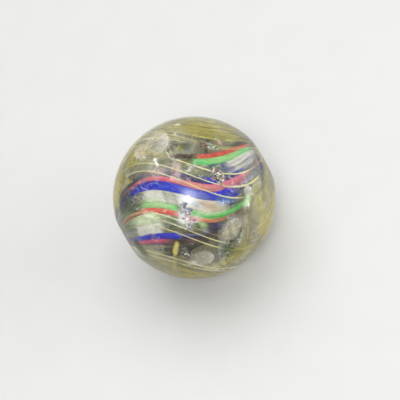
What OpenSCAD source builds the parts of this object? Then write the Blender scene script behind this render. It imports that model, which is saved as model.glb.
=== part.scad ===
// Handmade glass swirl marble. Canes of coloured glass run from pole to pole
// inside a clear glass ball, and all of it is fused into one piece.
// The pole axis lies along X and the ball's centre is the origin.

/* [Ball] */
// Diameter across the waist, square to the pole axis
ball_d = 22.2; // [16:0.1:28]
// Length from pole to pole, as a share of the diameter
pole_share = 0.972; // [0.965:0.001:0.98]
// Radius of the low dome at each pole, as a multiple of the ball's radius
dome_ratio = 2; // [1.6:0.1:2.4]

/* [Ribbon core] */
// Roll of the whole swirl about the pole axis
swirl_roll = 55; // [0:5:355]
// Core radius at the waist, as a share of the ball's radius
core_share = 0.48; // [0.4:0.01:0.5]
// Thickness of a ribbon, as a share of the ball's radius
ribbon_share = 0.045; // [0.03:0.005:0.06]
// Half of the turn that the ribbons make between the poles
core_turn = 55; // [30:1:70]
// Share of the half length over which the ribbons turn
core_turn_share = 0.65; // [0.5:0.01:0.9]
// Extra lean of the ribbons at both poles
core_lean = 38; // [0:1:45]

/* [Yellow strands] */
// Radius of the strand cage at the waist, as a share of the ball's radius
cage_share = 0.76; // [0.7:0.01:0.8]
// Thickness of a strand, as a share of the ball's radius
strand_share = 0.02; // [0.014:0.002:0.026]
// Half of the turn that the strands make between the poles
cage_turn = 52; // [30:1:70]
// Share of the half length over which the strands turn
cage_turn_share = 0.82; // [0.6:0.01:0.95]
// Extra lean of the strands at both poles
cage_lean = 15; // [0:1:30]

/* [Impact chips] */
// Depth of the deepest chip, as a share of the ball's radius
chip_share = 0.028; // [0.01:0.002:0.04]

/* [Hidden] */
R = ball_d / 2;
pole_x = R * pole_share;             // the sheared face at each pole
dome_r = R * dome_ratio;
dome_top = R * (pole_share + 0.007); // where the uncut dome would peak
rings = 22;

// Ribbon edges at the waist: [angle, share of the turn], in order round the
// core, with the colour of the ribbon that starts there. The thirteen ribbons
// lie side by side in one panel, which wraps less than half way round. A fourth
// number is how far the edge wavers sideways near the +X end, in degrees. The
// edges stay in this order from pole to pole, at least 3 degrees apart.
panel = [
    [  50, 0.84, "red"],   [43.5, 0.855, "green"], [34.6, 0.875, "white"],
    [  20, 0.99, "blue"],  [  10, 1.04, "pink", 4.6], [ 0, 1.10, "blue", 9],
    [ -15, 1.08, "white"], [ -36, 1.08, "green", 2], [ -46, 1.10, "red", -4],
    [ -55, 1.10, "green", -7], [ -66, 1.00, "white", -5], [ -75, 0.86, "blue", -5],
    [ -88, 0.90, "pink", -2],  [-103, 0.96, "end"]];

// Strand groups: the angle of each strand at the waist.
strands = [ 39, 25.6, 14,
           -37, -44, -53,
           -92, -99, -108,
           150, 162, 172,
           205, 216, 228,
            98,  82,  68];

// Share of the half length at ring i, closer together towards the poles.
function station(i) = sin(90 * (2 * i / (rings - 1) - 1)) * pole_share;
// Turn of the swirl at share u of the half length.
function turn(u, half, share, lean) =
    -half * sin(90 * max(-1, min(1, u / share))) + lean * u * u;
// Unit vector square to the pole axis, at an angle from the swirl's roll.
function radial(a) = [0, -cos(a + swirl_roll), sin(a + swirl_roll)];
// Core: radius and centre line at share u. The core sits a little off centre.
function core_r(u) = R * core_share * pow(1 - pow(abs(u), 1.5), 0.52);
function core_c(u) = [R * u, 0, 0] + R * (1 - u * u) *
    ((0.12 + 0.18 * u) * radial(90) + (0.02 - 0.10 * u) * radial(0));
function ribbon_t(u) = min(R * ribbon_share, 0.45 * core_r(u));
function waver(u) = let (t = max(0, min(1, (u - 0.18) / 0.24))) t * t * (3 - 2 * t);
function core_a(e, u) =
    e[0] + e[1] * turn(u, core_turn, core_turn_share, core_lean)
    + (len(e) > 3 ? e[3] * waver(u) : 0);
function outer_pt(e, u) = core_c(u) + core_r(u) * radial(core_a(e, u));
function inner_pt(e, u) =
    core_c(u) + (core_r(u) - ribbon_t(u)) * radial(core_a(e, u));
// Closed outline of the edges e[a] to e[b] at share u.
function outline(e, a, b, u) = concat(
    [for (k = [a:b]) outer_pt(e[k], u)],
    [for (k = [b:-1:a]) inner_pt(e[k], u)]);

// Solid through equal outlines. With wall_flip, the last side of each outline is
// split on the other diagonal, so that ribbons side by side share the same wall.
module loft(sections, wall_flip = true) {
    n = len(sections);
    m = len(sections[0]);
    pts = [for (s = sections) each s];
    h = m / 2;
    sides = [for (i = [0:n - 2]) for (j = [0:m - 1])
        let (a = i * m + j, b = i * m + (j + 1) % m, c = a + m, d = b + m)
        each (wall_flip && j == m - 1) ? [[a, c, b], [b, c, d]]
                                       : [[a, d, b], [a, c, d]]];
    cap0 = wall_flip
        ? [for (k = [0:h - 2]) each [[k, k + 1, m - 1 - k],
                                     [k + 1, m - 2 - k, m - 1 - k]]]
        : [for (k = [1:m - 2]) [0, k, k + 1]];
    o = (n - 1) * m;
    cap1 = [for (t = cap0) [o + t[0], o + t[2], o + t[1]]];
    polyhedron(pts, concat(sides, cap0, cap1), convexity = 8);
}

// The ribbons from edge a to edge b, pole to pole. With past, the run goes on
// that far beyond both poles, as the channel that they fill in the clear glass.
module ribbon_run(e, a, b, past = 0) {
    s = [for (i = [0:rings - 1]) outline(e, a, b, station(i))];
    step = [past, 0, 0];
    all = past > 0
        ? concat([[for (p = s[0]) p - step]], s, [[for (p = s[rings - 1]) p + step]])
        : s;
    loft(all);
}

// Every ribbon of one colour.
module ribbons(colour) {
    for (k = [0:len(panel) - 2])
        if (panel[k][2] == colour) ribbon_run(panel, k, k + 1);
}

// Cage: radius at share u. The strands close in to a small ring at each pole.
cage_end = 0.125;
function cage_r(u) = R * (cage_end + (cage_share - cage_end) *
    pow(max(0, 1 - pow(u / pole_share, 2)), 0.7));
function strand_c(a, u) = let (
    t = a + turn(u, cage_turn, cage_turn_share, cage_lean))
    [R * u, 0, 0] + cage_r(u) * radial(t);
// Four-sided section of a strand, square to the pole axis.
function strand_ring(a, u) = let (
    t = a + turn(u, cage_turn, cage_turn_share, cage_lean),
    r = min(R * strand_share / 2, 0.06 * cage_r(u)), c = strand_c(a, u))
    [c + r * radial(t), c - r * radial(t + 90),
     c - r * radial(t), c + r * radial(t + 90)];

module strand_run(a, past = 0) {
    s = [for (i = [0:rings - 1]) strand_ring(a, station(i))];
    step = [past, 0, 0];
    all = past > 0
        ? concat([[for (p = s[0]) p - step]], s, [[for (p = s[rings - 1]) p + step]])
        : s;
    loft(all, false);
}

// Ball with a low dome at each pole, and the sheared face where the marble
// was cut from its rod.
module ball() {
    rotate([0, 90, 0]) intersection() {
        sphere(r = R, $fn = 80);
        translate([0, 0, dome_top - dome_r]) sphere(r = dome_r, $fn = 80);
        translate([0, 0, dome_r - dome_top]) sphere(r = dome_r, $fn = 80);
        cube([3 * R, 3 * R, 2 * pole_x], center = true);
    }
}

// Shallow shell-shaped chip, at share u of the half length and angle a.
// Size and depth are shares of the ball's radius.
module chip(u, a, size, depth) {
    d = [u, 0, 0] + sqrt(1 - u * u) * radial(a);
    k = size * size / (2 * depth);
    cr = R * k / (1 - k);
    translate(d * (R + cr - depth * R)) sphere(r = cr, $fn = 32);
}

module clear_glass() {
    color([0.78, 0.76, 0.48, 0.35])
    difference() {
        ball();
        ribbon_run(panel, 0, len(panel) - 1, 0.2 * R);
        for (a = strands) strand_run(a, 0.2 * R);
        chip(-0.16,  -8, 0.10, chip_share);
        chip( 0.34,   4, 0.08, 0.9 * chip_share);
        chip( 0.50,  30, 0.10, 0.9 * chip_share);
        chip(-0.49, -37, 0.05, 0.6 * chip_share);
    }
}

module white_ribbons() { color([0.93, 0.93, 0.88]) ribbons("white"); }
module blue_ribbons() { color([0.13, 0.16, 0.80]) ribbons("blue"); }
module green_ribbons() { color([0.30, 0.75, 0.36]) ribbons("green"); }
module red_ribbons() { color([0.84, 0.26, 0.20]) ribbons("red"); }
module pink_ribbons() { color([0.88, 0.30, 0.46]) ribbons("pink"); }
module yellow_strands() { color([0.90, 0.87, 0.50]) for (a = strands) strand_run(a); }

clear_glass();
white_ribbons();
blue_ribbons();
green_ribbons();
red_ribbons();
pink_ribbons();
yellow_strands();
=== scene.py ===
# Looks of the glass swirl marble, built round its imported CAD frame.
import math
import random

import bmesh
import bpy
import numpy as np
from mathutils import Matrix, Vector


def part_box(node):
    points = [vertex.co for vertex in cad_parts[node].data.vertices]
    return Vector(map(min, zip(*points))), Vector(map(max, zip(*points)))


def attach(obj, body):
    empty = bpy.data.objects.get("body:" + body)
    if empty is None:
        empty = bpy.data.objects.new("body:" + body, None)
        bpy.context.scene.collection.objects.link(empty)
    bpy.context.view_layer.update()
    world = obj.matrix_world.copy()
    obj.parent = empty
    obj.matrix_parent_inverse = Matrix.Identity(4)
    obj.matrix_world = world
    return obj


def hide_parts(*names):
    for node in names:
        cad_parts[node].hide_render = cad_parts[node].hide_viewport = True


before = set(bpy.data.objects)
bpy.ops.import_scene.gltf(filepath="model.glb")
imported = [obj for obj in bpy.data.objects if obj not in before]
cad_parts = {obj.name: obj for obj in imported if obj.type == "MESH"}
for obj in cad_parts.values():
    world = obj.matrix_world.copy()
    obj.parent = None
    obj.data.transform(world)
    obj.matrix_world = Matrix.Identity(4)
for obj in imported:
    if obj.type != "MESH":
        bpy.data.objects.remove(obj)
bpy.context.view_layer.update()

# ---------------------------------------------------------------- the frame
glass_lo, glass_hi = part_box("clear_glass")
R = (glass_hi.y - glass_lo.y) / 2          # radius at the waist
POLE = glass_hi.x / R                      # the sheared face at each pole
DOME_R = 2.0
DOME_TOP = POLE + 0.007
ROLL = 55.0

# The same rules as in the part's source: edges are [angle at the waist, share
# of the turn, colour of the ribbon that starts there, waver near the +X end].
PANEL = [[50, 0.84, "red"], [43.5, 0.855, "green"], [34.6, 0.875, "white"], [20, 0.99, "blue"],
         [10, 1.04, "pink", 4.6], [0, 1.10, "blue", 9], [-15, 1.08, "white"], [-36, 1.08, "green", 2],
         [-46, 1.10, "red", -4], [-55, 1.10, "green", -7], [-66, 1.00, "white", -5], [-75, 0.86, "blue", -5],
         [-88, 0.90, "pink", -2], [-103, 0.96, "end"]]
STRANDS = [39, 25.6, 14, -37, -44, -53, -92, -99, -108, 150, 162, 172, 205, 216, 228, 98, 82, 68]

X = np.array([1.0, 0, 0])


def turn(u, half, share, lean):
    return -half * np.sin(np.radians(90 * np.clip(u / share, -1, 1))) + lean * u * u


def radial(a):
    t = np.radians(np.asarray(a, float) + ROLL)
    return np.stack([np.zeros_like(t), -np.cos(t), np.sin(t)], -1)


def edge_angle(e, u):
    t = np.clip((u - 0.18) / 0.24, 0, 1)
    return e[0] + e[1] * turn(u, 55, 0.65, 38) + (e[3] if len(e) > 3 else 0) * t * t * (3 - 2 * t)


def core_r(u):
    return 0.48 * np.clip(1 - np.abs(u) ** 1.5, 0, 1) ** 0.52


def core_c(u):
    u = np.asarray(u, float)
    w = (1 - u * u)[..., None]
    return u[..., None] * X + w * ((0.12 + 0.18 * u)[..., None] * radial(90)
                                   + (0.02 - 0.10 * u)[..., None] * radial(0))


def cage_r(u, waist=0.76, end=0.125):
    return end + (waist - end) * np.clip(1 - (u / POLE) ** 2, 0, 1) ** 0.7


def point(u, a):
    """Unit direction at share u of the half length and angle a."""
    return u * X + math.sqrt(1 - u * u) * radial(a)


E2, E1 = radial(0.0), radial(90.0)

# The photograph's view: the pole axis lies in the picture plane and rises 30
# degrees. Surface marks are placed by how far right and up they lie in it.
TILT = math.radians(30)
RIGHT = math.cos(TILT) * X - math.sin(TILT) * E1
UP = math.sin(TILT) * X + math.cos(TILT) * E1
BACK = E2


def seen(x, y):
    """Direction from the centre, for a mark x to the right and y up in that view."""
    return x * RIGHT + y * UP + math.sqrt(1 - x * x - y * y) * BACK


def local(d, q, tilt=0.0):
    """Coordinates of directions d round q: along the view's right and up, turned by tilt."""
    ax = RIGHT - (RIGHT @ q) * q
    ax /= np.linalg.norm(ax)
    ay = np.cross(q, ax)
    t = math.radians(tilt)
    x, y = d @ ax, d @ ay
    return x * math.cos(t) + y * math.sin(t), y * math.cos(t) - x * math.sin(t)


# ---------------------------------------------------------------- mesh tools
def new_object(name, verts, faces, smooth=True):
    mesh = bpy.data.meshes.new(name)
    mesh.from_pydata([tuple(v) for v in np.asarray(verts, float)], [], [tuple(f) for f in faces])
    mesh.validate()
    mesh.update()
    if smooth:
        mesh.polygons.foreach_set("use_smooth", [True] * len(mesh.polygons))
    obj = bpy.data.objects.new(name, mesh)
    bpy.context.scene.collection.objects.link(obj)
    return obj


def add_attribute(obj, name, values, kind="FLOAT"):
    a = obj.data.attributes.new(name, kind, "POINT")
    values = np.asarray(values, np.float32)
    field = {"FLOAT_VECTOR": "vector", "FLOAT_COLOR": "color"}.get(kind, "value")
    a.data.foreach_set(field, values.ravel())


def loft(rings):
    """Closed solid through equal rings of points: (n, m, 3) to vertices and faces."""
    n, m = rings.shape[:2]
    faces = []
    for i in range(n - 1):
        for j in range(m):
            k = (j + 1) % m
            faces.append((i * m + j, (i + 1) * m + j, (i + 1) * m + k, i * m + k))
    faces.append(tuple(range(m)))
    faces.append(tuple((n - 1) * m + j for j in range(m - 1, -1, -1)))
    return rings.reshape(-1, 3), faces


def fix_normals(obj):
    bm = bmesh.new()
    bm.from_mesh(obj.data)
    bmesh.ops.recalc_face_normals(bm, faces=bm.faces)
    bm.to_mesh(obj.data)
    bm.free()


def step(x, a, b):
    t = np.clip((np.asarray(x, float) - a) / (b - a), 0, 1)
    return t * t * (3 - 2 * t)


def window(x, a, b, soft):
    return step(x, a - soft, a + soft) * (1 - step(x, b - soft, b + soft))


# ---------------------------------------------------------------- materials
def lin(r, g, b):
    def f(c):
        c /= 255.0
        return c / 12.92 if c <= 0.04045 else ((c + 0.055) / 1.055) ** 2.4
    return (f(r), f(g), f(b), 1.0)


class Nodes:
    def __init__(self, name):
        self.mat = bpy.data.materials.new(name)
        self.mat.use_nodes = True
        self.t = self.mat.node_tree
        self.t.nodes.clear()
        self.out = self.t.nodes.new("ShaderNodeOutputMaterial")

    def add(self, kind, **inputs):
        n = self.t.nodes.new(kind)
        for k, v in inputs.items():
            if k.startswith("_"):
                setattr(n, k[1:], v)
            else:
                self.put(n.inputs[k.replace("__", " ")], v)
        return n

    def put(self, socket, v):
        if isinstance(v, bpy.types.NodeSocket):
            self.t.links.new(v, socket)
        elif v is not None:
            socket.default_value = v

    def math(self, op, a, b=None, clamp=False):
        n = self.t.nodes.new("ShaderNodeMath")
        n.operation = op
        n.use_clamp = clamp
        self.put(n.inputs[0], a)
        if b is not None:
            self.put(n.inputs[1], b)
        return n.outputs[0]

    def mix(self, fac, a, b, mode="MIX"):
        n = self.t.nodes.new("ShaderNodeMix")
        n.data_type = "RGBA"
        n.blend_type = mode
        self.put(n.inputs[0], fac)
        self.put(n.inputs[6], a)
        self.put(n.inputs[7], b)
        return n.outputs[2]

    def attr(self, name, vector=False, colour=False):
        n = self.t.nodes.new("ShaderNodeAttribute")
        n.attribute_name = name
        return n.outputs["Vector" if vector else "Color" if colour else "Fac"]

    def remap(self, v, a, b, c=0.0, d=1.0):
        n = self.t.nodes.new("ShaderNodeMapRange")
        n.clamp = True
        self.put(n.inputs[0], v)
        for i, x in enumerate((a, b, c, d)):
            n.inputs[1 + i].default_value = x
        return n.outputs[0]

    def scaled(self, vector, scale):
        n = self.t.nodes.new("ShaderNodeMapping")
        n.vector_type = "POINT"
        self.put(n.inputs["Vector"], vector)
        n.inputs["Scale"].default_value = scale
        return n.outputs[0]

    def noise(self, vector, scale, detail=3.0, rough=0.55):
        n = self.t.nodes.new("ShaderNodeTexNoise")
        self.put(n.inputs["Vector"], vector)
        n.inputs["Scale"].default_value = scale
        n.inputs["Detail"].default_value = detail
        n.inputs["Roughness"].default_value = rough
        return n.outputs["Fac"]

    def shader(self, out, volume=None):
        self.t.links.new(out, self.out.inputs["Surface"])
        if volume is not None:
            self.t.links.new(volume, self.out.inputs["Volume"])


def cane_glass(name, lit, dark, pale, rough=0.28):
    """Opaque coloured glass. 'lit' is its colour where the cane is painted lit, 'dark'
    its colour in painted shade, 'pale' its milky streaks."""
    n = Nodes(name)
    swirl = n.attr("swirl", vector=True)      # x along the marble, y across the ribbon, z its number
    cloud = n.noise(n.scaled(swirl, (7.0, 7.0, 13.7)), 1.0, 4.0, 0.6)
    grain = n.noise(n.scaled(swirl, (11.0, 15.0, 9.1)), 1.0, 5.0, 0.75)
    grit = n.noise(n.scaled(swirl, (46.0, 50.0, 13.7)), 1.0, 4.0, 0.65)
    wob = n.math("MULTIPLY", n.math("SUBTRACT", cloud, 0.5), 0.6)
    wob2 = n.math("MULTIPLY", n.math("SUBTRACT", grit, 0.5), 0.5)
    wobble = n.math("ADD", wob, wob2)
    # Painted light and shade: the 'lit' mask blends each cane from its painted-shade colour to its lit colour.
    fac = n.math("ADD", n.attr("lit"), wobble)
    fac = n.math("MAXIMUM", n.math("MINIMUM", fac, 1.0), 0.0)
    colour = n.mix(fac, dark, lit)
    # Fields of colour, laid over the cane with uneven edges: other glass, and patches of painted light and painted
    # shade.
    amount = n.attr("tint_amount")
    amount = n.math("MULTIPLY", amount, n.remap(n.math("ADD", amount, wobble), 0.1, 0.45), clamp=True)
    colour = n.mix(amount, colour, n.attr("tint", colour=True))
    # Milky streaks, and dark streaks of painted shade, strongest where the cane is painted in shade.
    streak = n.noise(n.scaled(swirl, (3.0, 42.0, 7.7)), 1.0, 3.0, 0.6)
    milky = n.math("MULTIPLY", n.remap(streak, 0.50, 0.70), n.remap(fac, 0.05, 0.6, 0.25, 0.45))
    milky = n.math("ADD", milky, n.math("MULTIPLY", n.remap(grain, 0.53, 0.66), n.remap(fac, 0.2, 0.9, 0.80, 0.62)))
    milky = n.math("MINIMUM", milky, 0.9)
    milky = n.math("MULTIPLY", milky, n.remap(amount, 0.2, 0.85, 1.0, 0.10))
    colour = n.mix(milky, colour, pale)
    shade = n.math("MULTIPLY", n.remap(grain, 0.48, 0.38), n.remap(fac, 0.2, 0.9, 0.95, 0.45))
    colour = n.mix(shade, colour, (0.030, 0.034, 0.022, 1))
    specks = n.remap(n.noise(n.scaled(swirl, (24.0, 30.0, 3.1)), 1.0, 3.0, 0.6), 0.585, 0.655)
    colour = n.mix(n.math("MULTIPLY", specks, 0.80), colour, (0.02, 0.02, 0.025, 1))
    sparks = n.remap(n.noise(n.scaled(swirl, (34.0, 38.0, 5.7)), 1.0, 3.0, 0.6), 0.58, 0.65)
    colour = n.mix(n.math("MULTIPLY", sparks, n.remap(amount, 0.3, 0.9, 0.70, 0.35)), colour, n.mix(0.4, pale, lin(240, 242, 236)))
    b = n.add("ShaderNodeBsdfPrincipled", Base__Color=colour)
    # Fused into the clear glass, so hardly any light comes back off its face.
    b.inputs["Specular IOR Level"].default_value = 0.12
    n.put(b.inputs["Roughness"], n.remap(grit, 0.3, 0.7, rough - 0.1, rough + 0.15))
    bump = n.add("ShaderNodeBump", Height=n.math("ADD", cloud, n.math("MULTIPLY", grit, 0.5)))
    bump.inputs["Strength"].default_value = 0.35
    bump.inputs["Distance"].default_value = 0.00012
    n.put(b.inputs["Normal"], bump.outputs[0])
    n.shader(b.outputs[0])
    return n.mat


def strand_glass(name, a, b_, rough=0.3):
    """Yellow glass thread, a little browner where it bunches towards the -X end."""
    n = Nodes(name)
    swirl = n.attr("swirl", vector=True)
    v = n.noise(n.scaled(swirl, (14.0, 3.0, 5.3)), 1.0, 4.0, 0.6)
    colour = n.mix(n.remap(v, 0.35, 0.65), a, b_)
    along = n.t.nodes.new("ShaderNodeSeparateXYZ")
    n.put(along.inputs[0], swirl)
    dull = n.math("MULTIPLY", n.attr("dull"), n.remap(along.outputs[0], -0.30, -0.62, 0.0, 0.75))
    colour = n.mix(dull, colour, lin(206, 164, 108))
    b = n.add("ShaderNodeBsdfPrincipled", Base__Color=colour)
    n.put(b.inputs["Roughness"], n.remap(v, 0.3, 0.7, rough, rough + 0.25))
    n.shader(b.outputs[0])
    return n.mat


# ---------------------------------------------------------------- ribbons
# Where each ribbon is painted lit, and painted in shade elsewhere: (from, to,
# softness, level), in shares of the half length.
LIT = [
    [(0.22, 0.76, 0.04, 1.0)],
    [(0.17, 0.75, 0.05, 1.0)],
    [(0.42, 0.78, 0.04, 1.0)],
    [(0.19, 0.28, 0.03, 0.9), (-0.20, -0.10, 0.04, 0.3), (0.46, 0.62, 0.05, 0.5)],
    [(-0.50, 0.56, 0.05, 1.0)],
    [(-0.50, 0.40, 0.03, 1.0), (-0.72, -0.62, 0.03, 0.6)],
    [(-0.41, -0.25, 0.02, 1.0), (-0.24, -0.17, 0.02, 0.65), (-0.16, 0.22, 0.03, 1.0)],
    [(-0.50, -0.20, 0.03, 0.9), (-0.12, 0.42, 0.03, 1.0)],
    [(-0.54, 0.15, 0.03, 1.0)],
    [(-0.62, -0.40, 0.02, 1.0), (-0.065, -0.005, 0.02, 0.9)],
    [(-0.68, -0.43, 0.02, 1.0)],
    [(-0.78, -0.30, 0.03, 1.0)],
    [(-0.76, -0.48, 0.03, 1.0)],
]
PAINT = {
    "milk": (246, 248, 242), "frost": (206, 216, 244), "beige": (236, 204, 190), "mint": (196, 222, 178), "cream": (232, 224, 196), "straw": (226, 220, 132), "mustard": (208, 198, 92), "khaki": (158, 150, 62), "emerald": (106, 252, 142), "rose": (255, 138, 176),
    "sky": (58, 126, 255), "royal": (10, 12, 236), "steel": (76, 98, 160), "peri": (140, 156, 255), "lilac": (174, 168, 240), "slate": (96, 98, 136), "dusk": (58, 58, 92),
    "navy": (26, 28, 92), "plum": (88, 46, 112), "wine": (104, 26, 54), "rust": (190, 122, 88),
    "orange": (255, 158, 118), "salmon": (255, 172, 158), "bark": (70, 52, 26), "soot": (38, 20, 14), "blush": (252, 172, 180), "brown": (110, 88, 78),
    "olive": (160, 156, 112), "violet": (66, 32, 140), "magenta": (226, 40, 116), "moss": (58, 78, 40), "leaf": (200, 240, 176), "pistachio": (234, 255, 214), "mauve": (150, 134, 124),
}
# Soft fields: (ribbon, centre along, centre across, half length, half width,
# glass, strength). Across runs from 0 at the ribbon's first edge to 1. Besides
# other glass, many are painted light and shade: dark fields such as soot, bark,
# navy, moss and rust on unlit stretches are painted shade, and pale leaf,
# pistachio and milk fields on lit ones are painted light.
FIELDS = [
    (0, 0.12, 0.5, 0.10, 1.2, "soot", 1.0), (1, 0.10, 0.2, 0.07, 0.5, "bark", 0.8), (0, -0.25, 0.5, 0.26, 1.5, "olive", 0.7),
    (1, 0.46, 0.4, 0.20, 0.7, "leaf", 0.6), (1, 0.0, 0.5, 0.14, 1.0, "olive", 0.8),
    (2, 0.62, 0.62, 0.20, 0.11, "plum", 0.7), (2, 0.60, 0.25, 0.12, 0.07, "slate", 0.6), (2, 0.70, 0.85, 0.10, 0.25, "frost", 0.7), (2, 0.36, 0.28, 0.10, 0.45, "steel", 0.85), (2, 0.44, 0.80, 0.05, 0.3, "lilac", 0.7), (2, -0.50, 0.8, 0.11, 0.5, "bark", 0.7), (2, -0.30, 0.85, 0.09, 0.35, "navy", 0.8),
    (2, -0.14, 0.85, 0.13, 0.40, "dusk", 0.85), (2, -0.28, 0.3, 0.22, 0.6, "olive", 0.8),
    (2, 0.10, 0.4, 0.12, 0.5, "olive", 0.7),
    (3, -0.24, 0.4, 0.15, 0.9, "navy", 0.9), (3, -0.52, 0.5, 0.12, 1.0, "navy", 0.85), (3, 0.58, 0.5, 0.08, 0.4, "steel", 0.9), (3, 0.03, 0.60, 0.14, 0.6, "plum", 0.65),
    (3, 0.66, 0.15, 0.10, 0.30, "milk", 0.8), (3, 0.31, 0.6, 0.035, 0.6, "rose", 0.6),
    (3, 0.38, 0.45, 0.035, 0.25, "navy", 0.9),
    (4, -0.44, 0.1, 0.08, 0.5, "wine", 0.8), (4, -0.68, 0.5, 0.10, 1.0, "plum", 0.8), (4, 0.02, 0.45, 0.16, 0.5, "salmon", 0.75), (4, 0.16, 0.65, 0.12, 0.4, "blush", 0.75),
    (4, 0.42, 0.5, 0.15, 0.9, "rose", 0.85),
    (5, -0.20, 0.6, 0.07, 0.6, "sky", 0.35), (5, 0.02, 0.6, 0.12, 0.6, "peri", 0.85),
    (5, 0.42, 0.04, 0.11, 0.20, "rose", 0.9), (5, 0.50, 0.36, 0.09, 0.10, "lilac", 0.85), (5, 0.52, 0.56, 0.09, 0.10, "navy", 0.9), (5, -0.38, 0.45, 0.12, 0.9, "royal", 0.85), (5, 0.41, 0.6, 0.05, 0.5, "slate", 0.8),
    (6, -0.38, 0.9, 0.10, 0.25, "leaf", 0.7), (6, -0.62, 0.5, 0.13, 1.0, "moss", 0.85), (5, -0.70, 0.5, 0.14, 1.0, "navy", 0.9), (6, -0.05, 0.35, 0.09, 0.35, "frost", 0.8),
    (6, 0.09, 0.45, 0.07, 0.45, "beige", 0.95), (6, 0.24, 0.05, 0.07, 0.32, "sky", 1.0), (5, 0.24, 0.85, 0.07, 0.40, "sky", 1.0),
    (6, 0.285, 0.42, 0.06, 0.30, "navy", 0.85), (6, 0.215, 0.35, 0.02, 0.14, "milk", 0.9), (6, 0.155, 0.64, 0.03, 0.26, "milk", 0.85),
    (7, -0.36, 0.35, 0.14, 0.7, "leaf", 0.85), (7, 0.36, 0.2, 0.04, 0.5, "mint", 0.6), (7, 0.21, 0.45, 0.13, 0.7, "emerald", 0.8), (6, 0.36, 0.92, 0.09, 0.24, "emerald", 0.95), (7, -0.57, 0.5, 0.08, 0.6, "moss", 0.8),
    (8, -0.66, 0.5, 0.13, 0.8, "rust", 0.8), (8, -0.01, 0.4, 0.07, 0.6, "orange", 0.8), (8, 0.08, 0.75, 0.12, 0.40, "salmon", 0.95), (8, 0.07, 0.0, 0.17, 0.15, "emerald", 0.7), (7, 0.04, 0.0, 0.12, 0.35, "pistachio", 0.75), (8, 0.08, 0.3, 0.10, 0.3, "orange", 0.3),
    (9, -0.50, 0.5, 0.20, 1.6, "pistachio", 0.95), (9, -0.51, 0.9, 0.13, 0.45, "milk", 0.8), (10, -0.56, 0.5, 0.13, 1.2, "milk", 0.85), (11, -0.56, 0.5, 0.20, 0.9, "royal", 0.7), (9, -0.30, 0.6, 0.10, 0.9, "moss", 0.95), (10, -0.33, 0.5, 0.06, 1.0, "moss", 0.9),
    (9, 0.045, 0.6, 0.065, 0.9, "violet", 1.0), (10, 0.035, 0.4, 0.080, 1.2, "violet", 1.0), (9, -0.055, 0.4, 0.035, 0.9, "leaf", 0.95), (9, -0.005, 0.6, 0.022, 0.9, "bark", 0.8), (10, -0.055, 0.3, 0.025, 0.5, "frost", 0.8), (10, -0.01, 0.5, 0.03, 0.9, "bark", 0.9), (11, -0.03, 0.5, 0.13, 1.0, "bark", 0.85), (12, -0.06, 0.5, 0.18, 1.0, "bark", 0.85), (10, -0.20, 0.7, 0.07, 0.4, "bark", 0.7), (10, -0.22, 0.4, 0.16, 0.6, "olive", 0.6),
    (11, -0.18, 0.1, 0.13, 0.25, "lilac", 0.6), (11, -0.56, 0.6, 0.03, 0.5, "wine", 0.7),
    (12, -0.58, 0.85, 0.17, 0.26, "violet", 1.0), (12, -0.61, 0.28, 0.17, 0.45, "magenta", 1.0), (12, -0.34, 0.5, 0.08, 1.0, "bark", 0.9),
]
# Each cane: its lit colour, its colour in painted shade, and its milky streaks.
COLOURS = {
    "white": (lin(247, 251, 255), lin(112, 118, 90), lin(252, 253, 255)),
    "blue": (lin(4, 6, 250), lin(58, 56, 86), lin(70, 86, 255)),
    "green": (lin(88, 236, 118), lin(88, 104, 60), lin(206, 244, 190)),
    "red": (lin(248, 74, 64), lin(128, 108, 78), lin(252, 174, 150)),
    "pink": (lin(252, 70, 138), lin(104, 76, 78), lin(255, 190, 206)),
}
RINGS, ACROSS = 220, 13


def to_poles(t):
    """Shares of the half length, closer together towards the poles. The canes
    stop just under the skin, and further in at the rough pole."""
    s = np.sin(np.pi / 2 * t)
    return s * np.where(s < 0, POLE - 0.018, POLE - 0.006)


def ribbon_mesh(k):
    """Rings of one ribbon: a crowned outer face, thin walls and a plain inner face."""
    t = np.linspace(-1, 1, RINGS)
    u = to_poles(t)
    w = np.linspace(0, 1, ACROSS)
    a0, a1 = edge_angle(PANEL[k], u), edge_angle(PANEL[k + 1], u)
    ang = a0[:, None] * (1 - w) + a1[:, None] * w
    r = core_r(u)[:, None]
    thick = np.minimum(0.045, 0.45 * r)
    # Each cane is slightly crowned and runs a little uneven.
    crown = 0.008 * (1 - (2 * w - 1) ** 2)[None, :] * np.minimum(1, r / 0.3)
    wave = 0.0022 * np.sin(37 * u + 2.3 * k)[:, None] * np.sin(np.pi * w)[None, :]
    outer = core_c(u)[:, None, :] + (r - 0.006 + crown + wave)[..., None] * radial(ang)
    inner = core_c(u)[:, None, :] + (r - thick)[..., None] * radial(ang)
    rings = np.concatenate([outer, inner[:, ::-1]], 1) * R
    ww = np.concatenate([w, w[::-1]])[None, :] + 0 * u[:, None]
    uu = u[:, None] + 0 * ww
    swirl = np.stack([uu, ww * (PANEL[k][0] - PANEL[k + 1][0]) / 12.0, 0 * uu + k], -1)
    lit = 0 * uu
    for a, b, soft, level in LIT[k]:
        # Painted lit stretches end on a slant, not square across.
        lit = np.maximum(lit, level * window(uu + 0.03 * (ww - 0.5), a, b, soft))
    total = np.zeros(uu.shape)
    tint = np.zeros(uu.shape + (4,))
    fields = [(u0, w0, su, sw, lin(*PAINT[g]), level) for kk, u0, w0, su, sw, g, level in FIELDS if kk == k]
    ends = np.maximum(step(uu, 0.72, 0.86), step(-uu, 0.78, 0.90)) * 0.85
    for u0, w0, su, sw, g, level in fields:
        amt = level * np.exp(-np.abs((uu - u0) / su) ** 3 - np.abs((ww - w0) / sw) ** 3)
        tint += amt[..., None] * np.array(g)
        total += amt
    tint += ends[..., None] * np.array(lin(*PAINT["mauve"]))
    total += ends
    tint = np.where(total[..., None] > 1e-4, tint / np.maximum(total, 1e-4)[..., None], 0.2)
    tint[..., 3] = 1
    return rings, swirl, lit, np.minimum(total, 1), tint


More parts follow.
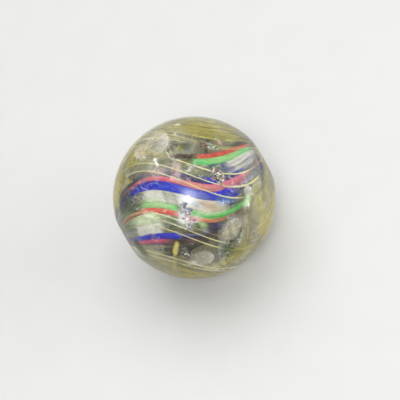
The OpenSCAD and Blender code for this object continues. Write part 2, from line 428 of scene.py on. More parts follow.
def ribbons(colour):
    verts, faces, cols = [], [], []
    base = 0
    for k in range(len(PANEL) - 1):
        if PANEL[k][2] != colour:
            continue
        rings, swirl, lit, amount, tint = ribbon_mesh(k)
        v, f = loft(rings)
        verts.append(v)
        faces += [tuple(i + base for i in q) for q in f]
        base += len(v)
        cols.append((swirl.reshape(-1, 3), lit.ravel(), amount.ravel(), tint.reshape(-1, 4)))
    obj = new_object("ribbons_" + colour, np.concatenate(verts), faces)
    add_attribute(obj, "swirl", np.concatenate([c[0] for c in cols]), "FLOAT_VECTOR")
    add_attribute(obj, "lit", np.concatenate([c[1] for c in cols]))
    add_attribute(obj, "tint_amount", np.concatenate([c[2] for c in cols]))
    add_attribute(obj, "tint", np.concatenate([c[3] for c in cols]), "FLOAT_COLOR")
    fix_normals(obj)
    obj.data.materials.append(cane_glass("cane_" + colour, *COLOURS[colour]))
    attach(obj, "root")
    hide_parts(colour + "_ribbons")
    return obj


for c in COLOURS:
    ribbons(c)


# ---------------------------------------------------------------- strands
def tube(centres, normals, radii, sides):
    """Rings of a tube along centres, square to the pole axis."""
    t = np.linspace(0, 2 * np.pi, sides, endpoint=False)
    side = np.cross(np.broadcast_to(X, normals.shape), normals)
    return (centres[:, None, :] + radii[:, None, None]
            * (np.cos(t)[None, :, None] * normals[:, None, :]
               + np.sin(t)[None, :, None] * side[:, None, :]))


def threads(name, specs, sides, rings, material):
    verts, faces, swirl, dull = [], [], [], []
    base = 0
    for i, s in enumerate(specs):
        t = np.linspace(-1, 1, rings)
        if s["ends"] is None:
            u = to_poles(t)
            taper = 0.22 + 0.78 * window(u, *s["full"], 0.05)
        else:
            a, b = s["ends"]
            u = a + (b - a) * (t + 1) / 2
            taper = np.clip((1 - np.abs(t)) * 6, 0.12, 1)
        ang = s["angle"] + s["share"] * turn(u, 52, 0.82, 15) + s["wander"] * np.sin(s["freq"] * u + i)
        n = radial(ang)
        r = cage_r(u, s["waist"])
        thick = s["thick"] * taper * (1 + 0.18 * np.sin(11 * u + 1.7 * i) + 0.1 * np.sin(29 * u + i))
        thick = np.minimum(thick, 0.055 * r)
        ring = tube(u[:, None] * X + r[:, None] * n, n, thick, sides) * R
        v, f = loft(ring)
        verts.append(v)
        faces += [tuple(q + base for q in g) for g in f]
        base += len(v)
        sw = np.zeros(ring.shape)
        sw[..., 0] = u[:, None]
        sw[..., 2] = i
        swirl.append(sw.reshape(-1, 3))
        dull.append(np.full(len(v), s.get("dull", 0.0)))
    obj = new_object(name, np.concatenate(verts), faces)
    add_attribute(obj, "swirl", np.concatenate(swirl), "FLOAT_VECTOR")
    add_attribute(obj, "dull", np.concatenate(dull))
    fix_normals(obj)
    obj.data.materials.append(material)
    return obj


yellow = strand_glass("strand_yellow", lin(255, 254, 226), lin(252, 248, 176))
# Where each strand keeps its full thickness, thinning to a hair beyond.
FULL = {39: (0.0, 0.66), 25.6: (-0.60, 0.74), 14: (-0.60, 0.42), -37: (-0.70, -0.20), -44: (-0.45, 0.09),
        -53: (-0.50, 0.28), -92: (-0.90, 0.05), -99: (-0.90, -0.10), -108: (-0.90, 0.10), 68: (-0.60, 0.22),
        82: (-0.6, 0.5), 98: (-0.7, 0.6), 150: (0.26, 1.1), 162: (-1.1, -0.26), 172: (0.30, 1.1),
        205: (-1.1, -0.30), 216: (-1.1, -0.34), 228: (0.34, 1.1)}
specs = [dict(angle=a, share=1.0, waist=0.76, thick=0.0112 if -110 < a < -90 else 0.0098, wander=0.5, freq=5.0,
              ends=None, full=FULL.get(a, (-1.1, 1.1)), dull=1.0 if -60 < a < -30 else 0.0) for a in STRANDS]
cage = threads("strands_yellow", specs, 8, 150, yellow)
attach(cage, "root")
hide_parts("yellow_strands")

rng = random.Random(7)
haze = []
for i in range(44):
    a = rng.uniform(66, 156) if i % 2 else rng.uniform(204, 262)
    mid, half = rng.uniform(-0.35, 0.35), rng.uniform(0.3, 0.6)
    haze.append(dict(angle=a, share=rng.uniform(0.9, 1.1), waist=rng.uniform(0.72, 0.84),
                     thick=rng.uniform(0.0020, 0.0046), wander=rng.uniform(0, 1.5), freq=rng.uniform(3, 8),
                     ends=(max(-0.94, mid - half), min(0.94, mid + half))))
fine = threads("threads_fine", haze, 4, 48, strand_glass("thread_fine", lin(244, 238, 150), lin(222, 214, 110), 0.4))
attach(fine, "root")


def smears(name, specs, material, core=False):
    """Thin drawn-out lenses of glass, which follow the swirl: just under the surface, or on the core, where they are
    sheets of painted shade.
    """
    verts, faces, swirl, soft, warm = [], [], [], [], []
    base = 0
    rings, m = 44, 7
    w = np.linspace(-1, 1, m)
    for i, (a, width, waist, u0, u1, share, level, warmth) in enumerate(specs):
        t = np.linspace(-1, 1, rings)
        u0, u1 = np.clip((u0, u1), -0.945, 0.955)
        u = u0 + (u1 - u0) * (t + 1) / 2
        half = width / 2 * np.clip(1 - np.abs(t) ** 2.4, 0.03, 1)
        spin = turn(u, 55, 0.65, 38) if core else turn(u, 52, 0.82, 15)
        ang = (a + share * spin)[:, None] + half[:, None] * w[None, :]
        r = (core_r(u) * waist if core else cage_r(u, waist))[:, None]
        lens = 0.0022 * (1 - w ** 2)[None, :] * np.clip(1.05 - np.abs(t), 0.1, 1)[:, None] + 0.0003
        cx = (core_c(u) if core else u[:, None] * X)[:, None, :]
        outer = cx + (r + lens)[..., None] * radial(ang)
        inner = cx + (r - lens)[..., None] * radial(ang)
        ring = np.concatenate([outer, inner[:, ::-1]], 1) * R
        v, f = loft(ring)
        verts.append(v)
        faces += [tuple(q + base for q in g) for g in f]
        base += len(v)
        ww = np.concatenate([w, w[::-1]])[None, :] + 0 * u[:, None]
        sw = np.stack([u[:, None] + 0 * ww, ww * half[:, None] / 12.0, 0 * ww + i], -1)
        swirl.append(sw.reshape(-1, 3))
        soft.append((level * (1 - ww ** 2) * (1 - step(np.abs(t), 0.72, 1.0))[:, None]).ravel())
        warm.append((warmth + 0 * ww).ravel())
    obj = new_object(name, np.concatenate(verts), faces)
    add_attribute(obj, "swirl", np.concatenate(swirl), "FLOAT_VECTOR")
    add_attribute(obj, "soft", np.concatenate(soft))
    add_attribute(obj, "warm", np.concatenate(warm))
    fix_normals(obj)
    obj.data.materials.append(material)
    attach(obj, "root")
    return obj


def smear_glass(name, pale, strong, alpha_level, low=0.25):
    """Translucent glass: 'pale' and 'strong' are its two ends of colour."""
    n = Nodes(name)
    swirl = n.attr("swirl", vector=True)
    v = n.noise(n.scaled(swirl, (2.4, 4.0, 7.3)), 1.0, 6.0, 0.66)
    v2 = n.noise(n.scaled(swirl, (5.0, 10.0, 3.3)), 1.0, 3.0, 0.6)
    mixed = n.math("ADD", n.attr("warm"), n.math("MULTIPLY", n.math("SUBTRACT", v2, 0.5), 1.4), clamp=True)
    alpha = n.math("MULTIPLY", n.attr("soft"), n.remap(v, 0.36, 0.64, low, 1.0))
    alpha = n.math("MULTIPLY", alpha, alpha_level)
    b = n.add("ShaderNodeBsdfPrincipled", Base__Color=n.mix(mixed, pale, strong))
    n.put(b.inputs["Roughness"], n.remap(v2, 0.3, 0.7, 0.45, 0.7))
    n.put(b.inputs["Alpha"], alpha)
    n.shader(b.outputs[0])
    return n.mat


def smear_specs(groups, layer, gap, seed):
    rng = random.Random(seed)
    specs = []
    for count, a0, a1, w0, w1, u0, u1, level, warmth in groups:
        for i in range(count):
            a = a0 + (a1 - a0) * (i + rng.uniform(0.2, 0.8)) / count
            specs.append((a, rng.uniform(w0, w1), layer + gap * len(specs), u0 + rng.uniform(0, 0.12),
                          u1 - rng.uniform(0, 0.12), rng.uniform(0.95, 1.05), level * rng.uniform(0.7, 1.1),
                          min(1.0, max(0.0, warmth + rng.uniform(-0.2, 0.2)))))
    return specs


# (how many, from angle, to angle, narrowest, widest, from share, to share, level, warmth)
smears("smears_yellow", smear_specs([
    (22, 80, 114, 6, 13, -0.96, 0.95, 0.80, 0.35),       # above the panel
    (14, 36, 80, 9, 16, -0.97, -0.10, 1.0, 0.8),         # over its upper left end
    (16, 0, 38, 9, 15, -0.97, -0.44, 1.1, 0.9),
    (18, 112, 260, 26, 38, -0.95, 0.95, 0.50, 0.45),     # a wide haze behind
    (11, 228, 258, 7, 14, -0.80, 0.95, 1.15, 0.9),        # below the panel
    (18, 258, 350, 9, 18, 0.34, 0.96, 1.1, 0.8),         # over its lower right end
    (8, -10, 66, 12, 18, 0.86, 0.97, 0.6, 0.4),
    (4, 282, 318, 7, 10, 0.42, 0.80, 1.6, 1.0),
], 0.80, 0.0010, 7), smear_glass("smear_yellow", lin(236, 230, 128), lin(236, 218, 44), 0.66, 0.35))
# Painted shade: dark translucent sheets on the core, below the panel and over its top, stand where the glass lies in
# shade.
smears("smears_painted_shade", smear_specs([
    (8, -140, -106, 11, 17, -0.66, 0.66, 1.0, 0.5), (4, 56, 92, 10, 16, -0.45, 0.30, 0.5, 0.5),
], 0.965, 0.004, 3), smear_glass("smear_painted_shade", (0.022, 0.026, 0.015, 1), (0.085, 0.080, 0.040, 1), 0.9, 0.25), core=True)


def stray(name, x0, y0, x1, y1, depth, wide, material, ends):
    """A thick broken-off streak of yellow glass that lies across the swirl."""
    rings, m = 40, 12
    t = np.linspace(0, 1, rings)
    x = x0 + (x1 - x0) * t + 0.002 * np.sin(9 * t)
    y = y0 + (y1 - y0) * t
    z = np.sqrt(np.maximum(depth ** 2 - x ** 2 - y ** 2, 0.02))
    c = x[:, None] * RIGHT + y[:, None] * UP + z[:, None] * BACK
    w = wide * (1 + 0.07 * np.sin(11 * t + 1)) * np.clip(1 - np.abs(2 * t - 1) ** ends, 0.05, 1) ** 0.6
    a = np.linspace(0, 2 * np.pi, m, endpoint=False)
    out = c / np.linalg.norm(c, axis=1)[:, None]
    ring = c[:, None, :] + w[:, None, None] * (np.cos(a)[None, :, None] * RIGHT + 0.3 * np.sin(a)[None, :, None] * out[:, None, :])
    v, f = loft(ring * R)
    obj = new_object(name, v, f)
    swirl = np.zeros(ring.shape)
    swirl[..., 0] = t[:, None] * 0.3
    swirl[..., 1] = np.cos(a)[None, :]
    add_attribute(obj, "swirl", swirl.reshape(-1, 3), "FLOAT_VECTOR")
    add_attribute(obj, "warm", np.full(rings * m, 0.9))
    add_attribute(obj, "dull", np.zeros(rings * m))
    add_attribute(obj, "soft", ((1 - 0.8 * np.abs(np.cos(a))[None, :]) * np.clip(4 * np.minimum(t, 1 - t), 0, 1)[:, None]).ravel())
    fix_normals(obj)
    obj.data.materials.append(material)
    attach(obj, "root")


stray("streak_stray", -0.190, -0.478, -0.215, -0.660, 0.90, 0.037,
      smear_glass("streak_yellow", lin(250, 242, 160), lin(242, 222, 108), 1.8, 0.5), 4)
stray("streak_faint", -0.215, -0.650, -0.235, -0.930, 0.95, 0.044,
      smear_glass("streak_faint", lin(240, 232, 120), lin(240, 222, 84), 0.5, 0.4), 3)


# ---------------------------------------------------------------- glass ball
# Chips: right, up, half width, half height, tilt, depth, seen from the camera's
# side, tilt of the facets, share of them that shows glass of another colour, and
# the colours.
CHIPS = [(-0.115, -0.088, 0.034, 0.036, 12, 0.010, 0.5, 0.75, ["lilac", "slate", "dusk", "frost"]),
         (-0.070, -0.155, 0.050, 0.046, 12, 0.014, 0.5, 0.75, ["dusk", "lilac", "slate", "frost", "dusk", "milk", "lilac"]),
         (-0.125, -0.215, 0.042, 0.062, 20, 0.014, 0.5, 0.60, ["milk", "frost", "rose", "milk", "lilac"]),
         (-0.022, -0.258, 0.048, 0.038, 20, 0.014, 0.5, 0.80, ["rose", "salmon", "rose", "milk"]),
         (-0.046, -0.330, 0.034, 0.050, 10, 0.014, 0.6, 0.75, ["milk", "frost", "cream", "milk", "dusk"]),
         (0.270, 0.262, 0.075, 0.108, 16, 0.018, 0.5, 0.66, ["beige", "moss", "milk", "cream", "navy", "olive", "cream", "milk", "mint"]),
         (0.105, 0.620, 0.062, 0.050, -20, 0.016, 0.5, 0.80, ["bark", "wine", "brown", "moss", "brown", "cream"]),
         (0.212, 0.592, 0.060, 0.048, -20, 0.016, 0.5, 0.80, ["mint", "leaf", "moss", "milk", "mint"]),
         (0.300, 0.655, 0.070, 0.040, 30, 0.014, 0.5, 0.70, ["rust", "salmon", "olive", "rust", "mint"]),
         (-0.092, -0.646, 0.065, 0.068, 0, 0.008, 0.3, 0.55, ["moss", "bark", "olive", "bark", "olive", "dusk", "milk"])]
# Bruises in the glass: right, up, half width, half height, tilt, level, and the
# direction in which each one brightens, in degrees.
MOONS = [(-0.445, 0.662, 0.225, 0.155, -68, 0.68, 0), (-0.625, 0.550, 0.150, 0.100, -62, 0.50, 200),
         (0.632, 0.072, 0.078, 0.066, -20, 1.0, 90), (0.440, -0.364, 0.110, 0.150, -35, 0.42, 100),
         (0.092, -0.713, 0.150, 0.128, 0, 1.0, -10)]
# Films and stains on the surface: right, up, half width, half height, tilt, glass, level.
FILMS = [(-0.215, 0.300, 0.060, 0.110, -6, "beige", 0.32), (-0.440, 0.285, 0.140, 0.060, 0, "beige", 0.28),
         (-0.620, 0.555, 0.110, 0.110, 0, "beige", 0.12), (-0.090, 0.600, 0.100, 0.090, 0, "moss", 0.28),
         (-0.480, 0.610, 0.340, 0.240, 38, "straw", 0.24), (-0.180, 0.565, 0.060, 0.050, 0, "straw", 0.22), (0.720, 0.440, 0.050, 0.120, 30, "mauve", 0.34), (0.850, 0.400, 0.065, 0.180, 25, "khaki", 0.36), (-0.760, 0.450, 0.130, 0.180, 40, "khaki", 0.42), (-0.420, 0.890, 0.220, 0.070, 26, "khaki", 0.26), (-0.065, -0.280, 0.060, 0.080, 12, "milk", 0.44), (0.035, -0.235, 0.055, 0.045, 10, "milk", 0.34),
         (-0.330, 0.500, 0.130, 0.060, -10, "straw", 0.14), (-0.880, 0.280, 0.080, 0.220, 26, "khaki", 0.46), (0.870, 0.130, 0.060, 0.200, 0, "mustard", 0.32), (-0.400, -0.740, 0.270, 0.110, -34, "mustard", 0.16),
         (-0.920, 0.020, 0.055, 0.240, 0, "mustard", 0.45),
         (0.618, -0.040, 0.038, 0.090, -28, "mint", 0.55), (0.440, -0.364, 0.105, 0.140, -35, "olive", 0.34),
         (-0.020, -0.765, 0.070, 0.045, 15, "cream", 0.38), (0.545, -0.415, 0.050, 0.065, 20, "mint", 0.22),
         (0.740, 0.020, 0.130, 0.330, 8, "straw", 0.24), (0.800, -0.160, 0.050, 0.260, 6, "mustard", 0.18),
         (0.560, -0.600, 0.260, 0.150, 42, "khaki", 0.30), (0.650, -0.620, 0.060, 0.090, -30, "mustard", 0.24), (0.400, -0.600, 0.120, 0.130, 0, "moss", 0.36), (0.420, -0.770, 0.160, 0.060, 24, "khaki", 0.26),
         (0.300, -0.790, 0.250, 0.080, 15, "straw", 0.20), (-0.135, -0.215, 0.070, 0.090, 20, "milk", 0.44),
         (0.120, -0.150, 0.080, 0.050, -10, "cream", 0.25), (-0.640, -0.600, 0.150, 0.085, -42, "moss", 0.46), (0.590, -0.270, 0.080, 0.060, 40, "cream", 0.20)]
# Painted glints: small white spots on the surface that stand in for reflections of the lights: right, up, half
# width, half height, tilt.
PAINTED_GLINTS = [(-0.455, 0.440, 0.019, 0.019, 0), (-0.440, 0.410, 0.010, 0.024, 32), (-0.427, 0.382, 0.013, 0.022, 25), (-0.20, 0.870, 0.034, 0.012, 0),
         (0.632, -0.085, 0.014, 0.018, 0), (0.530, -0.515, 0.012, 0.012, 0), (0.905, -0.365, 0.02, 0.02, 0)]


def smooth_min(a, b, k):
    h = np.clip(0.5 + 0.5 * (b - a) / k, 0, 1)
    return b * (1 - h) + a * h - k * h * (1 - h)


def facets(x, y, count, slope, rs):
    """Small tilted facets over the unit disc: height, cell, and how far inside its cell each point is."""
    seeds = rs.uniform(-1, 1, (count, 2))
    tilt = rs.normal(size=(count, 2)) * slope
    lift = rs.uniform(-0.5, 0.5, count)
    gap = (x[:, None] - seeds[:, 0]) ** 2 + (y[:, None] - seeds[:, 1]) ** 2
    i = np.argmin(gap, 1)
    two = np.sqrt(np.partition(gap, 1, 1)[:, :2])
    return tilt[i, 0] * (x - seeds[i, 0]) + tilt[i, 1] * (y - seeds[i, 1]) + lift[i] * 0.3, i, two[:, 1] - two[:, 0]


def glass_ball():
    bm = bmesh.new()
    bmesh.ops.create_icosphere(bm, subdivisions=7, radius=1.0)
    spots = [(Vector(seen(x, y)), max(w, h) * 1.25, 3) for x, y, w, h, *_ in CHIPS]
    spots += [(Vector((-1.0, 0, 0)), 0.28, 1)]
    for cuts in (3, 1):
        picked = set()
        for f in bm.faces:
            c = f.calc_center_median()
            if any((d - c).length < s for d, s, k in spots if k == cuts):
                picked.update(f.edges)
        bmesh.ops.subdivide_edges(bm, edges=list(picked), cuts=cuts, use_grid_fill=True)
    bmesh.ops.triangulate(bm, faces=bm.faces)
    mesh = bpy.data.meshes.new("glass_ball")
    bm.to_mesh(mesh)
    bm.free()
    n = len(mesh.vertices)
    d = np.empty(n * 3)
    mesh.vertices.foreach_get("co", d)
    d = d.reshape(-1, 3)
    d /= np.linalg.norm(d, axis=1)[:, None]
    ax = np.abs(d[:, 0])
    c = DOME_R - DOME_TOP
    dome = -c * ax + np.sqrt(np.maximum((c * ax) ** 2 - c * c + DOME_R ** 2, 0))
    rho = smooth_min(np.ones(n), dome, 0.004)
    rho = smooth_min(rho, POLE / np.maximum(ax, 0.05), 0.003)
    # Slow unevenness of a hand-made ball.
    rho -= 0.0012 * (0.5 + 0.5 * np.sin(3.1 * d[:, 1] + 2 * d[:, 0]) * np.cos(2.7 * d[:, 2] + 1.0))
    grit, moon, nick = np.zeros(n), np.zeros(n), np.zeros(n)
    rs = np.random.RandomState(5)
    fleck, fleck_amount = np.full((n, 4), 0.5), np.zeros(n)
    for i, (x, y, w, h, tilt, depth, slope, share, glass) in enumerate(CHIPS):
        q = seen(x, y)
        lx, ly = local(d, q, tilt)
        near = d @ q > 0.9
        lx, ly = lx / w, ly / h
        phi = np.arctan2(ly, lx)
        outline = 1 + 0.18 * np.sin(3 * phi + i) + 0.12 * np.sin(5 * phi + 2 * i) + 0.08 * np.sin(11 * phi + i)
        dist = np.hypot(lx, ly) / outline
        inside = near & (dist < 1)
        bowl = depth * np.sqrt(np.clip(1 - dist ** 2, 0, 1)) * 0.75
        rubble = np.zeros(n)
        cells = 90
        heights, cell, inner = facets(lx[inside], ly[inside], cells, slope, rs)
        rubble[inside] = heights * 0.34 * min(w, h)
        kinds = np.array([lin(*PAINT[g]) for g in glass])[rs.randint(0, len(glass), cells)]
        shows = np.where(rs.uniform(size=cells) < share, rs.uniform(0.6, 1.0, cells), 0.03)
        seam = (1 - step(inner, 0.03, 0.09)) * (rs.uniform(size=cells) < 0.6)[cell]
        edge = 1 - step(dist[inside], 0.72, 1.0)
        fleck[inside] = kinds[cell] * (1 - seam[:, None]) + seam[:, None] * np.array(lin(*PAINT["bark"]))
        fleck_amount[inside] = np.maximum(shows[cell], 0.8 * seam) * edge
        cut = 0.002 + bowl + np.clip(rubble * (1 - dist ** 4), -0.8 * bowl, 0.012)
        rho = np.where(inside, rho - cut, rho)
        grit = np.maximum(grit, np.where(near, 1 - step(dist, 0.9, 1.12), 0))
    # Rough patch where the marble was broken off its rod.
    pd = np.linalg.norm(d - np.array([-1.0, 0, 0]), axis=1)
    rough = 1 - step(pd, 0.18, 0.27)
    near = pd < 0.3
    lumps = np.zeros(n)
    lumps[near], cell, _ = facets(d[near, 1] / 0.3, d[near, 2] / 0.3, 60, 0.9, rs)
    kinds = np.array([lin(*PAINT[g]) for g in ("beige", "mauve", "cream", "milk", "slate")])[rs.randint(0, 5, 60)]
    fleck[near] = kinds[cell]
    fleck_amount[near] = (rs.uniform(0.10, 0.55, 60)[cell]) * rough[near]
    rho -= rough * (0.008 + 0.020 * np.clip(lumps, -0.4, 1.5))
    grit = np.maximum(grit, 0.9 * rough)
    for x, y, w, h, tilt, level, way in MOONS:
        q = seen(x, y)
        lx, ly = local(d, q, tilt)
        near = d @ q > 0.8
        lx, ly = lx / w, ly / h
        dist = np.hypot(lx, ly)
        cx, cy = math.cos(math.radians(way - tilt)), math.sin(math.radians(way - tilt))
        glow = np.clip(0.5 + 0.55 * (lx * cx + ly * cy), 0, 1)
        body = 1 - step(dist, 0.84, 1.04)
        rim = np.exp(-((dist - 0.93) / 0.07) ** 2) * glow
        ax, ay = math.cos(math.radians(way - 40 - tilt)), math.sin(math.radians(way - 40 - tilt))
        arcs = np.clip(np.sin(np.hypot(lx + 2.0 * ax, ly + 2.0 * ay) * 27), 0, 1) ** 2 * glow ** 3
        moon = np.maximum(moon, np.where(near, level * np.clip(body * (0.26 + 0.36 * glow + 1.0 * arcs) + 0.34 * rim, 0, 1.5), 0))
        rho -= np.where(near, 0.0011 * level * body * arcs, 0)
    for x, y, w, h, tilt, glass, level in FILMS:
        q = seen(x, y)
        lx, ly = local(d, q, tilt)
        film = level * np.exp(-(np.abs(lx / w) ** 3 + np.abs(ly / h) ** 3)) * (d @ q > 0.8)
        # Laid over what is there already, as paint is.
        under = fleck_amount * (1 - 0.5 * film)
        over = film * (1 - fleck_amount)
        share = (over / np.maximum(under + over, 1e-6))[:, None]
        fleck = fleck * (1 - share) + share * np.array(lin(*PAINT[glass]))
        fleck_amount = np.minimum(under + over, 1)
    # Painted glints: white spots where the lights' reflections show.
    for x, y, w, h, tilt in PAINTED_GLINTS:
        q = seen(x, y)
        lx, ly = local(d, q, tilt)
        nick = np.maximum(nick, np.where(d @ q > 0.9, np.exp(-(lx / w) ** 2 - (ly / h) ** 2), 0))
    # A dark cleft curls round the lower right of one bruise.
    x, y, w, h = MOONS[3][:4]
    lx, ly = local(d, seen(x, y), 0)
    dist = np.hypot(lx / w, ly / h) / (1 + 0.05 * np.sin(150 * lx) + 0.04 * np.sin(190 * ly))
    cleft = np.exp(-((dist - 1.06) / 0.10) ** 2) * window(np.arctan2(ly, lx), -1.65, -0.15, 0.2) * (d @ seen(x, y) > 0.8)
    fleck = np.where((cleft > fleck_amount)[:, None], np.array(lin(52, 38, 18)), fleck)
    fleck_amount = np.maximum(fleck_amount, 0.95 * cleft)
    moon *= 1 - cleft
    mesh.vertices.foreach_set("co", (d * rho[:, None] * R).ravel())
    mesh.update()
    obj = bpy.data.objects.new("glass_ball", mesh)
    bpy.context.scene.collection.objects.link(obj)
    # The broken places keep their facets; the rest is smooth.
    faces = np.empty(len(mesh.polygons) * 3, np.int32)
    mesh.polygons.foreach_get("vertices", faces)
    broken = grit[faces.reshape(-1, 3)].min(1) > 0.5
    mesh.polygons.foreach_set("use_smooth", ~broken)
    add_attribute(obj, "moon", moon)
    add_attribute(obj, "grit", grit)
    add_attribute(obj, "nick", nick)
    add_attribute(obj, "fleck", fleck, "FLOAT_COLOR")
    add_attribute(obj, "fleck_amount", fleck_amount)
    add_attribute(obj, "end", step(np.abs(d[:, 0]), 0.45, 0.9))
    return obj


def ball_glass():
    n = Nodes("glass_clear")
    tc = n.add("ShaderNodeTexCoord").outputs["Object"]
    moon, grit, nick = n.attr("moon"), n.attr("grit"), n.attr("nick")
    # Hairline scratches: thin contours of stretched noise, in three directions.
    lines = None
    for sc, w in (((900, 160, 240), 0.010), ((150, 800, 300), 0.009), ((260, 240, 900), 0.009)):
        v = n.noise(n.scaled(tc, sc), 1.0, 2.0, 0.5)
        band = n.remap(n.math("ABSOLUTE", n.math("SUBTRACT", v, 0.5)), 0.0, w, 1.0, 0.0)
        gate = n.remap(n.noise(n.scaled(tc, (300, 300, 300)), 1.0, 1.0), 0.52, 0.62)
        band = n.math("MULTIPLY", band, gate)
        lines = band if lines is None else n.math("MAXIMUM", lines, band)
    specks = n.remap(n.noise(n.scaled(tc, (5600, 5600, 5600)), 1.0, 1.0), 0.67, 0.74)
    worn = n.remap(n.noise(n.scaled(tc, (420, 420, 420)), 1.0, 4.0, 0.6), 0.45, 0.75)
    wear = n.math("ADD", n.math("MULTIPLY", lines, 0.32), n.math("MULTIPLY", specks, 0.45))
    wear = n.math("ADD", wear, n.math("MULTIPLY", worn, 0.012))
    white = n.math("ADD", wear, n.math("MULTIPLY", moon, MOON_HAZE))
    white = n.math("ADD", white, n.math("MULTIPLY", grit, 0.04))
    # The painted glints make the surface white and solid.
    white = n.math("ADD", white, n.math("MULTIPLY", nick, 0.9))
    white = n.math("MINIMUM", white, 0.85)
    mottle = n.remap(n.noise(n.scaled(tc, (900, 900, 900)), 1.0, 6.0, 0.82), 0.38, 0.62, 0.45, 1.45)
    amount = n.math("MULTIPLY", n.attr("fleck_amount"), mottle, clamp=True)
    solid = n.math("ADD", white, n.math("MULTIPLY", amount, n.math("SUBTRACT", 1.0, white)))
    through = n.math("SUBTRACT", 1.0, solid)
    colour = n.mix(n.remap(n.attr("fleck_amount"), 0.0, 0.33), (0.98, 0.98, 0.96, 1), n.attr("fleck", colour=True))
    colour = n.mix(n.math("MULTIPLY", moon, 2.0, clamp=True), colour, (0.87, 0.83, 0.73, 1))
    # Scratches, specks and painted glints turn the colour white.
    b = n.add("ShaderNodeBsdfPrincipled", Base__Color=n.mix(n.math("MAXIMUM", wear, nick, clamp=True), colour, (0.97, 0.98, 1.0, 1)))
    b.inputs["IOR"].default_value = 1.5
    n.put(b.inputs["Transmission Weight"], through)
    rough = n.math("ADD", n.math("MULTIPLY", moon, 0.18), n.math("MULTIPLY", grit, 0.10))
    rough = n.math("ADD", rough, n.math("MULTIPLY", worn, 0.08))
    rough = n.math("ADD", rough, n.math("MULTIPLY", n.attr("end"), 0.16))
    rough = n.math("ADD", rough, 0.036)
    n.put(b.inputs["Roughness"], n.math("MINIMUM", rough, 0.5))
    fine = n.noise(n.scaled(tc, (1500, 1500, 1500)), 1.0, 3.0, 0.6)
    h = n.math("MULTIPLY", fine, n.math("ADD", n.math("MULTIPLY", grit, 0.5), 0.03))
    h = n.math("SUBTRACT", h, n.math("MULTIPLY", lines, 0.05))
    bump = n.add("ShaderNodeBump", Height=h)
    bump.inputs["Strength"].default_value = 0.5
    bump.inputs["Distance"].default_value = 0.0002
    n.put(b.inputs["Normal"], bump.outputs[0])
    vol = n.add("ShaderNodeVolumeAbsorption", Color=(0.90, 0.887, 0.655, 1))
    vol.inputs["Density"].default_value = 55.0
    n.shader(b.outputs[0], vol.outputs[0])
    return n.mat


MOON_HAZE = 0.40
ball = glass_ball()
ball.data.materials.append(ball_glass())
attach(ball, "root")
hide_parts("clear_glass")


# ---------------------------------------------------------------- floor, light, camera
def floor():
    bm = bmesh.new()
    bmesh.ops.create_circle(bm, cap_ends=True, segments=96, radius=2.5)
    mesh = bpy.data.meshes.new("floor")
    bm.to_mesh(mesh)
    bm.free()
    obj = bpy.data.objects.new("floor", mesh)
    obj.location = (0, 0, -R * 1.0005)
    bpy.context.scene.collection.objects.link(obj)
    n = Nodes("floor")
    tc = n.add("ShaderNodeTexCoord").outputs["Object"]
    v = n.noise(tc, 180.0, 3.0)
    far = n.t.nodes.new("ShaderNodeVectorMath")
    far.operation = "LENGTH"
    n.put(far.inputs[0], tc)
    near = n.mix(v, (0.50, 0.497, 0.487, 1), (0.53, 0.527, 0.517, 1))
    b = n.add("ShaderNodeBsdfPrincipled", Base__Color=n.mix(n.remap(far.outputs["Value"], 0.10, 0.9), near, (0.93, 0.93, 0.93, 1)))
    b.inputs["Roughness"].default_value = 0.75
    n.shader(b.outputs[0])
    mesh.materials.append(n.mat)


floor()

world = bpy.data.worlds.new("studio")
bpy.context.scene.world = world
world.use_nodes = True
bg = world.node_tree.nodes["Background"]
bg.inputs["Color"].default_value = (0.95, 0.97, 1.0, 1)
bg.inputs["Strength"].default_value = 0.52

def softbox(name, direction, size, power, distance=0.45, colour=(1, 1, 1), shape="RECTANGLE"):
    """Area light facing the marble, in a direction given in the picture's right, up and toward-camera."""
    d = direction[0] * RIGHT + direction[1] * UP + direction[2] * BACK
    d = Vector(d).normalized()
    light = bpy.data.lights.new(name, "AREA")
    light.shape = shape
    light.size = size[0]
    if shape == "RECTANGLE":
        light.size_y = size[1]
    light.energy = power
    light.color = colour
    obj = bpy.data.objects.new(name, light)
    obj.location = d * distance
    obj.rotation_mode = "QUATERNION"
    obj.rotation_quaternion = (-d).to_track_quat("-Z", "Y")
    bpy.context.scene.collection.objects.link(obj)
    return obj


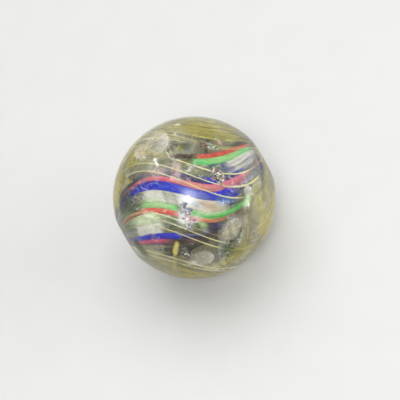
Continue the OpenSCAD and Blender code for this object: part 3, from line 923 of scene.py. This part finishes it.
key = softbox("key", (-0.25, 0.75, 0.62), (0.5, 0.4), 1.95)
key.visible_glossy = False
fill = softbox("fill", (0.80, 0.28, 0.50), (0.35, 0.40), 1.25)
fill.visible_glossy = False
FRONT_LIGHT = (-0.14, -0.03, 0.989)
front = softbox("front", FRONT_LIGHT, (0.27,), 1.15, shape="DISK")
glint = softbox("glint", FRONT_LIGHT, (0.06,), 0.22, distance=0.44, shape="DISK")
# The front light fades towards its edge.
light = front.data
light.use_nodes = True
t = light.node_tree
emit = next(x for x in t.nodes if x.type == "EMISSION")
geo = t.nodes.new("ShaderNodeNewGeometry")
mid = t.nodes.new("ShaderNodeVectorMath"); mid.operation = "DISTANCE"
mid.inputs[1].default_value = (0.5, 0.5, 0)
flat = t.nodes.new("ShaderNodeVectorMath"); flat.operation = "MULTIPLY"
flat.inputs[1].default_value = (1, 1, 0)
ramp = t.nodes.new("ShaderNodeMapRange")
ramp.interpolation_type = "SMOOTHSTEP"
for i, x in zip((1, 2, 3, 4), (0.05, 0.50, 1.7, 0.0)):
    ramp.inputs[i].default_value = x
t.links.new(geo.outputs["Parametric"], flat.inputs[0])
t.links.new(flat.outputs[0], mid.inputs[0])
t.links.new(mid.outputs["Value"], ramp.inputs[0])
t.links.new(ramp.outputs[0], emit.inputs["Strength"])

cam_data = bpy.data.cameras.new("camera")
cam_data.lens = 100.0
cam_data.sensor_width = 36.0
cam = bpy.data.objects.new("camera", cam_data)
alpha = math.atan(81.6 * 36 / (400 * cam_data.lens))
distance = R / math.sin(alpha)
px = distance * 36 / (400 * cam_data.lens)
location = BACK * distance + RIGHT * (200 - 194.4) * px - UP * (200 - 197.8) * px
cam.rotation_mode = "QUATERNION"
m = Matrix(((RIGHT[0], UP[0], BACK[0]), (RIGHT[1], UP[1], BACK[1]), (RIGHT[2], UP[2], BACK[2])))
cam.rotation_quaternion = m.to_quaternion()
cam.location = location
cam_data.clip_start, cam_data.clip_end = 0.01, 20
bpy.context.scene.collection.objects.link(cam)
bpy.context.scene.camera = cam
bpy.context.scene.view_settings.view_transform = "Standard"
